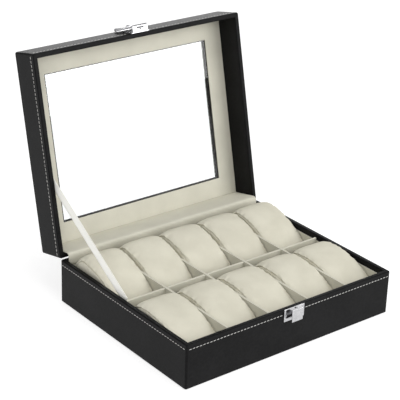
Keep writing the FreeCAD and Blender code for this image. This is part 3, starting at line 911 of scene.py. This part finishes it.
@dataclass
class Hinges(Assembly):
    """The two butt hinges at the back, with their pins and screws."""

    edge_round: float = 0.15 * MM
    edge_steps: int = 2

    def build(self) -> None:
        """Dress the leaves, the pins and the screws."""
        plates = [f"hinge_{half}_leaf_{end}" for half in HALVES for end in HINGE_ENDS]
        pins = [f"hinge_pin_{end}" for end in HINGE_ENDS]
        screws = [f"hinge_{half}_screws" for half in HALVES]
        self.bench.paint.dress(plates + pins + screws, Finish.HINGE)
        self.bench.soften(plates + screws, self.edge_round, self.edge_steps)


def two_sided_faces(rows: int, columns: int) -> List[List[int]]:
    """The faces of a thin sheet whose points are a grid for its front, then the same grid for its back.

    Args:
        rows: How many rows of points a side has.
        columns: How many faces there are to a row.

    Returns:
        The faces of both sides and of the edges between them.
    """
    width = columns + 1
    back = rows * width
    faces: List[List[int]] = []
    for row in range(rows - 1):
        for column in range(columns):
            corner = row * width + column
            quad = [corner, corner + 1, corner + width + 1, corner + width]
            faces.append(quad)
            faces.append([back + index for index in reversed(quad)])
    rim = [(row * width + side, width) for row in range(rows - 1) for side in (0, columns)]
    rim += [(end * width + column, 1) for column in range(columns) for end in (0, rows - 1)]
    for corner, step in rim:
        faces.append([corner, corner + step, back + corner + step, back + corner])
    return faces


@dataclass
class HingeLining(Assembly):
    """The velvet strip from the base's back wall, round the hinge axis and up the lid's back wall."""

    hinge: LidHinge
    node: str = "hinge_lining"
    thickness: float = 0.8 * MM
    squareness: float = 6.0
    base_flap: float = 6.0 * MM
    lid_flap: float = 27.9 * MM
    ripple: float = 0.16 * MM
    ripple_waves: float = 41
    ripple_drift: float = 0.21
    swell_waves: float = 13
    swell_start: float = 1.3
    columns: int = 96
    base_steps: int = 4
    bend_steps: int = 26
    lid_steps: int = 16

    def path(self) -> List[Tuple[Vector, Vector]]:
        """Lay the strip's line across the hinge.

        Returns:
            Points on its outer face and their outward directions, from the base to the lid.
        """
        line: List[Tuple[Vector, Vector]] = []
        towards_cells = Vector((0, -1, 0))
        outer_radius = self.hinge.axis_point.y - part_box(self.node)[0].y
        bend_start = self.hinge.axis_point + towards_cells * outer_radius
        for step in range(self.base_steps):
            drop = self.base_flap * (1 - step / self.base_steps)
            line.append((bend_start - Vector((0, 0, drop)), towards_cells))
        for step in range(self.bend_steps + 1):
            share = step / self.bend_steps
            outward = Matrix.Rotation(-self.hinge.open_angle * share, 3, "X") @ towards_cells
            quarter = share * math.pi / 2
            fold = math.cos(quarter) ** self.squareness + math.sin(quarter) ** self.squareness
            fold_share = fold ** (1 / self.squareness)
            line.append((self.hinge.axis_point + outward * outer_radius / fold_share, outward))
        bend_end, outward = line[-1]
        up_the_lid = Matrix.Rotation(-self.hinge.open_angle, 3, "X") @ Vector((0, 0, 1))
        for step in range(1, self.lid_steps + 1):
            line.append((bend_end + up_the_lid * self.lid_flap * step / self.lid_steps, outward))
        return line

    def dip(self, share: float, row: int, rows: int) -> float:
        """How far the strip's ripples lie below its path.

        Args:
            share: The place along the hinge, from 0 to 1.
            row: The row across the hinge.
            rows: How many rows there are.

        Returns:
            The depth in metres, none at the first and last rows.
        """
        wave = math.sin(share * self.ripple_waves + row * self.ripple_drift)
        wave *= math.sin(share * self.swell_waves + self.swell_start)
        return self.ripple * math.sin(math.pi * row / (rows - 1)) * (0.5 + 0.5 * wave)

    def build(self) -> None:
        """Make the strip in place of its solid."""
        low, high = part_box(self.node)
        line = self.path()
        rows = len(line)
        points: List[Vector] = []
        for face in (0, 1):
            for row, (place, outward) in enumerate(line):
                for column in range(self.columns + 1):
                    share = column / self.columns
                    across = low.x + (high.x - low.x) * share
                    sink = self.dip(share, row, rows) + face * (self.thickness - self.ripple)
                    spot = place - outward * sink
                    points.append(Vector((across, spot.y, spot.z)))
        faces = two_sided_faces(rows, self.columns)
        piece = self.bench.piece("hinge_strip", points, faces, Finish.VELVET)
        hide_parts(self.node)
        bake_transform(piece)
        length = sum((after[0] - before[0]).length for before, after in zip(line, line[1:]))


@dataclass
class RibbonStay(Assembly):
    """The satin ribbon that stops the lid, pulled straight."""

    node: str = "lid_ribbon"
    steps: int = 90
    columns: int = 6
    edge_lift: float = 0.12 * MM

    def ends(self) -> Tuple[Vector, Vector, Vector]:
        """Find the ribbon's two ends on its solid.

        Returns:
            The middle of the lower end, the middle of the upper end and the step across the ribbon.
        """
        corners = [vertex.co.copy() for vertex in frame["nodes"][self.node].data.vertices]
        lower_top = min(corners, key=lambda corner: corner.y)
        lower_foot = min(corners, key=lambda corner: corner.z)
        upper_foot = max(corners, key=lambda corner: corner.y)
        upper_top = max(corners, key=lambda corner: corner.z)
        start = (lower_top + lower_foot) / 2
        end = (upper_foot + upper_top) / 2
        across = lower_top - lower_foot
        start.x = end.x = across.x = 0
        return start, end, across

    def build(self) -> None:
        """Make the ribbon in place of its solid."""
        low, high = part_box(self.node)
        start, end, across = self.ends()
        points: List[Vector] = []
        for depth in (low.x, high.x):
            for step in range(self.steps + 1):
                for column in range(self.columns + 1):
                    share = column / self.columns
                    spot = start.lerp(end, step / self.steps) + across * (share - 0.5)
                    dish = self.edge_lift * (2 * share - 1) ** 2
                    shift = -dish if depth == high.x else 0
                    points.append(Vector((depth + shift, spot.y, spot.z)))
        faces = two_sided_faces(self.steps + 1, self.columns)
        piece = self.bench.piece("ribbon_stay", points, faces, Finish.RIBBON)
        self.unroll(piece, start, end - start, across)
        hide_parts(self.node)
        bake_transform(piece)
        flat = (across.length, (end - start).length)
        log.info("ribbon_stay: %.1f x %.1f mm", flat[0] / MM, flat[1] / MM)

    @staticmethod
    def unroll(piece: bpy.types.Object, start: Vector, along: Vector, across: Vector) -> None:
        """Give the ribbon flat coordinates in metres, across and along.

        Args:
            piece: The ribbon.
            start: The middle of its lower end.
            along: The step from there to its upper end.
            across: The step over its width.
        """
        layer = piece.data.uv_layers.new(name="flat")
        for loop in piece.data.loops:
            offset = piece.data.vertices[loop.vertex_index].co - start + across / 2
            layer.data[loop.index].uv = (offset.dot(across.normalized()), offset.dot(along.normalized()))


@dataclass
class PillowForm:
    """One stuffed pillow's sizes, as its solid has them, and how finely it is sewn."""

    half_depth: float = 42 * MM
    half_thickness: float = 21 * MM
    side_radius: float = 17 * MM
    flat: float = 4 * MM
    half_length: float = 22.48 * MM
    disc_share: float = 0.84
    disc_edge_depth: float = 1.0 * MM
    disc_edge_share: float = 0.044
    seam_place: float = 20.3 * MM
    seam_share: float = 0.888
    tuck_in_place: float = 21.4 * MM
    tuck_in_share: float = 0.906
    lip_place: float = 21.7 * MM
    lip_share: float = 0.93
    crown_place: float = 7.0 * MM
    around: int = 96
    disc_steps: int = 4
    edge_steps: int = 2
    body_steps: int = 9
    crown_steps: int = 2
    tuck_depth: float = 0.18 * MM
    tuck_reach: float = 4.0 * MM
    # How many tucks go round each seam, in three sets that lie over one another.
    tucks: Tuple[int, int, int] = (17, 29, 43)

    def section(self) -> List[Tuple[float, float]]:
        """The full section about its own middle: crown and belly arcs that run into the side arcs.

        Returns:
            Points all round, as places across and heights.
        """
        side_centre = self.half_depth - self.side_radius
        reach = self.half_thickness**2 + side_centre**2 - self.side_radius**2
        crown_radius = reach / (2 * (self.half_thickness - self.side_radius))
        crown_centre = self.half_thickness - crown_radius
        shoulder = math.atan2(side_centre, -crown_centre)
        crown_length = crown_radius * shoulder
        side_length = self.side_radius * (math.pi / 2 - shoulder)

        def quarter(share: float) -> Tuple[float, float]:
            """Go along a quarter of the section.

            Args:
                share: How far to go, from the crown's top at 0 to the widest place at 1.

            Returns:
                The place across and the height there.
            """
            run = share * (crown_length + side_length)
            if run < crown_length:
                lean = run / crown_radius
                return crown_radius * math.sin(lean), crown_centre + crown_radius * math.cos(lean)
            lean = shoulder + (run - crown_length) / self.side_radius
            return side_centre + self.side_radius * math.sin(lean), self.side_radius * math.cos(lean)

        points = []
        for step in range(self.around):
            turn = 4 * step / self.around
            share = turn % 1
            if int(turn) % 2:
                share = 1 - share
            across, height = quarter(share)
            if turn >= 2:
                across = -across
            if 1 <= turn < 3:
                height = -height
            points.append((across, height))
        return points

    def rings(self) -> List[Tuple[float, float]]:
        """The places along the pillow and the section's share at each: flat disc, its edge, seam, body.

        Returns:
            The rings from one end to the other.
        """
        half = []
        for step in range(1, self.disc_steps):
            half.append((self.half_length, self.disc_share * step / self.disc_steps))
        for step in range(self.edge_steps + 1):
            lean = math.pi / 2 * step / self.edge_steps
            place = self.half_length - self.disc_edge_depth * (1 - math.cos(lean))
            half.append((place, self.disc_share + self.disc_edge_share * math.sin(lean)))
        half.append((self.seam_place, self.seam_share))
        half.append((self.tuck_in_place, self.tuck_in_share))
        for step in range(self.body_steps, -1, -1):
            lean = math.pi / 2 * step / self.body_steps
            place = self.crown_place + (self.lip_place - self.crown_place) * math.sin(lean)
            half.append((place, self.lip_share + (1 - self.lip_share) * math.cos(lean)))
        for step in range(self.crown_steps - 1, -1, -1):
            half.append((self.crown_place * step / self.crown_steps, 1.0))
        return [(-place, share) for place, share in half] + half[-2::-1]

    def foot(self, tilt: float) -> float:
        """How far below its middle a pillow stands when its back is tilted up by an angle."""
        heights = [across * math.sin(tilt) + height * math.cos(tilt) for across, height in self.section()]
        return -min(heights) - self.flat


@dataclass(frozen=True)
class Cover:
    """How a pillow's velvet cover behaves while its stuffing swells it, under the cloth's own names."""

    quality: int = 6
    mass: float = 0.15
    tension_stiffness: float = 6
    compression_stiffness: float = 6
    shear_stiffness: float = 3
    bending_stiffness: float = 0.05
    use_pressure: bool = True
    uniform_pressure_force: float = 5.0
    shrink_min: float = -0.05


@dataclass
class Pillows(Assembly):
    """The ten velvet pillows, one in each cell."""

    form: PillowForm = field(default_factory=PillowForm)
    cover: Cover = Cover()
    # Each row's name and how far its pillows' backs are tilted up, in degrees.
    rows: Tuple[Tuple[str, float], ...] = (("front", 15.5), ("back", 25.0))
    columns: int = 5
    patterns: int = 4
    frames: int = 20
    most_movement: float = 0.8 * MM
    end_room: float = 22.5 * MM
    fill: float = 0.8

    def build(self) -> None:
        """Sew, stuff and place the pillows."""
        forms = [self.stuffed(seed) for seed in range(self.patterns)]
        pattern = 0
        for row, degrees in self.rows:
            tilt = math.radians(degrees)
            foot = self.form.foot(tilt)
            for column in range(self.columns):
                half_turn = Matrix.Rotation(math.pi * (column % 2), 4, "Z")
                mesh = forms[pattern % self.patterns].copy()
                mesh.transform(Matrix.Rotation(tilt, 4, "X") @ half_turn)
                self.seat(mesh, f"pillow_{row}_{column + 1}", foot)
                pattern += 1

    def seat(self, mesh: bpy.types.Mesh, name: str, foot: float) -> None:
        """Flatten a tilted pillow's foot and put it in its cell.

        Args:
            mesh: The pillow about its own middle.
            name: The solid that it replaces.
            foot: How far below its middle it stands.
        """
        for vertex in mesh.vertices:
            vertex.co.z = max(-foot, vertex.co.z)
        low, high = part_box(name)
        middle = (low + high) / 2
        mesh.transform(Matrix.Translation((middle.x, middle.y, low.z + foot)))
        piece = self.bench.piece_of(f"{name}_stuffed", mesh, Finish.PILLOW)
        finer = piece.modifiers.new("finer", "SUBSURF")
        finer.levels = finer.render_levels = 1
        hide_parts(name)
        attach(piece, name)

    def stuffed(self, seed: int) -> bpy.types.Mesh:
        """Make one pattern of pillow about its own middle and let its stuffing swell it.

        Args:
            seed: Which pattern of tucks it has.

        Returns:
            The pillow's mesh.
        """
        points, faces, seam_points = self.sewn(Random(seed))
        piece = self.bench.piece(f"pillow_pattern_{seed}", points, faces, Finish.PILLOW)
        self.swell(piece, seam_points)
        mesh = piece.data
        bpy.data.objects.remove(piece)
        for vertex in mesh.vertices:
            vertex.co.x = max(-self.end_room, min(self.end_room, vertex.co.x))
        return mesh

    def sewn(self, chance: Random) -> Tuple[List[Place], List[List[int]], List[int]]:
        """The pillow's cover before it is stuffed.

        Args:
            chance: Where the tucks' places come from.

        Returns:
            Its points, its faces and the points on its two seams.
        """
        form = self.form
        section = form.section()
        phases = [chance.uniform(0, 2 * math.pi) for _ in form.tucks]
        rings = form.rings()
        points: List[Place] = []
        seam_points: List[int] = []
        for place, share in rings:
            from_seam = (abs(place) - form.seam_place) / form.tuck_reach
            depth = form.tuck_depth * math.exp(-from_seam**2)
            for step, (across, height) in enumerate(section):
                angle = 2 * math.pi * step / form.around
                wave = sum(math.sin(count * angle + phase) for count, phase in zip(form.tucks, phases))
                if (abs(place), share) == (form.seam_place, form.seam_share):
                    seam_points.append(len(points))
                    wave = 0
                scale = share + depth * wave / (len(phases) * form.half_depth)
                points.append((place, across * scale, height * scale))
        faces: List[List[int]] = []
        for ring in range(len(rings) - 1):
            for step in range(form.around):
                after = (step + 1) % form.around
                first, second = ring * form.around, (ring + 1) * form.around
                faces.append([first + step, second + step, second + after, first + after])
        for ring, place in ((0, rings[0][0]), (len(rings) - 1, rings[-1][0])):
            points.append((place, 0, 0))
            middle = len(points) - 1
            for step in range(form.around):
                after = (step + 1) % form.around
                faces.append([middle, ring * form.around + step, ring * form.around + after])
        return points, faces, seam_points

    def swell(self, piece: bpy.types.Object, seam_points: Sequence[int]) -> None:
        """Blow the cover up as its stuffing does, with the seams held.

        Args:
            piece: The pillow.
            seam_points: The points on its seams.
        """
        seam = piece.vertex_groups.new(name="seam")
        seam.add(list(seam_points), 1.0, "REPLACE")
        before = [vertex.co.copy() for vertex in piece.data.vertices]
        cloth = piece.modifiers.new("swell", "CLOTH")
        for setting, value in asdict(self.cover).items():
            setattr(cloth.settings, setting, value)
        cloth.settings.vertex_group_mass = "seam"
        cloth.settings.effector_weights.gravity = 0
        cloth.collision_settings.use_collision = False
        scene = bpy.context.scene
        for moment in range(1, self.frames + 1):
            scene.frame_set(moment)
        swollen = piece.evaluated_get(bpy.context.evaluated_depsgraph_get())
        after = [vertex.co.copy() for vertex in swollen.data.vertices]
        piece.modifiers.remove(cloth)
        scene.frame_set(1)
        for vertex, old, new in zip(piece.data.vertices, before, after):
            movement = new - old
            if movement.length > self.most_movement:
                movement *= self.most_movement / movement.length
            vertex.co = old + movement


@dataclass(frozen=True)
class Lamp:
    """One square soft light: where it hangs, its side in metres and its power in watts."""

    name: str
    place: Place
    size: float
    power: float


@dataclass
class Studio(Assembly):
    """The pale floor, the soft lights and the camera."""

    floor_half: float = 6.0
    floor_drop: float = 0.2 * MM
    sky: float = 0.35
    lamps: Tuple[Lamp, ...] = (
        Lamp("key", place=(-1.15, -1.0, 0.9), size=0.6, power=6.5),
        Lamp("fill", place=(0.85, -1.3, 0.7), size=1.1, power=16.0),
        Lamp("top", place=(-0.1, -0.2, 1.6), size=0.8, power=8.0),
        Lamp("back", place=(1.0, 1.5, 0.55), size=1.0, power=5.0),
    )
    lamp_target: Place = (0.0, 0.03, 0.08)
    camera_place: Place = (-0.7947, -0.9452, 0.6771)
    camera_target: Place = (0.0038, 0.0477, 0.0968)
    camera_roll: float = 1.94
    lens: float = 128.0
    sensor: float = 36.0
    nearest_seen: float = 0.05

    def build(self) -> None:
        """Set up the studio."""
        half = self.floor_half
        corners = [(-half, -half), (half, -half), (half, half), (-half, half)]
        points = [(x, y, -self.floor_drop) for x, y in corners]
        self.bench.piece("floor", points, [[0, 1, 2, 3]], Finish.GROUND)
        self.light_sky()
        for lamp in self.lamps:
            self.hang(lamp)
        self.stand_camera()
        bpy.context.scene.view_settings.view_transform = "Standard"

    def light_sky(self) -> None:
        """Light the room evenly from all round."""
        world = bpy.data.worlds.new("studio")
        world.use_nodes = True
        background = world.node_tree.nodes["Background"]
        background.inputs["Color"].default_value = (1, 1, 1, 1)
        background.inputs["Strength"].default_value = self.sky
        bpy.context.scene.world = world

    def hang(self, lamp: Lamp) -> None:
        """Hang one soft light that faces the box.

        Args:
            lamp: The light.
        """
        data = bpy.data.lights.new(lamp.name, "AREA")
        data.size = lamp.size
        data.energy = lamp.power
        light = bpy.data.objects.new(lamp.name, data)
        light.location = lamp.place
        aim = Vector(self.lamp_target) - Vector(lamp.place)
        light.rotation_euler = aim.to_track_quat("-Z", "Y").to_euler()
        bpy.context.scene.collection.objects.link(light)

    def stand_camera(self) -> None:
        """Stand the camera at the photograph's viewing angle."""
        data = bpy.data.cameras.new("camera")
        data.sensor_width = self.sensor
        data.lens = self.lens
        data.clip_start = self.nearest_seen
        camera = bpy.data.objects.new("camera", data)
        aim = Vector(self.camera_target) - Vector(self.camera_place)
        level = aim.to_track_quat("-Z", "Y").to_matrix().to_4x4()
        roll = Matrix.Rotation(math.radians(self.camera_roll), 4, "Z")
        camera.matrix_world = Matrix.Translation(self.camera_place) @ level @ roll
        bpy.context.scene.collection.objects.link(camera)
        bpy.context.scene.camera = camera


def main() -> None:
    """Build every sub-assembly and log each one as it is done."""
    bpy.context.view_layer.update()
    bench = Bench(Paint())
    hinge = LidHinge()
    for assembly in (
        Shell(bench),
        Lining(bench),
        Stitching(bench, hinge),
        Clasp(bench),
        Hinges(bench),
        HingeLining(bench, hinge),
        RibbonStay(bench),
        Pillows(bench),
        Studio(bench),
    ):
        assembly.build()
        log.info("%s done", type(assembly).__name__)


if __name__ == "__main__":
    main()
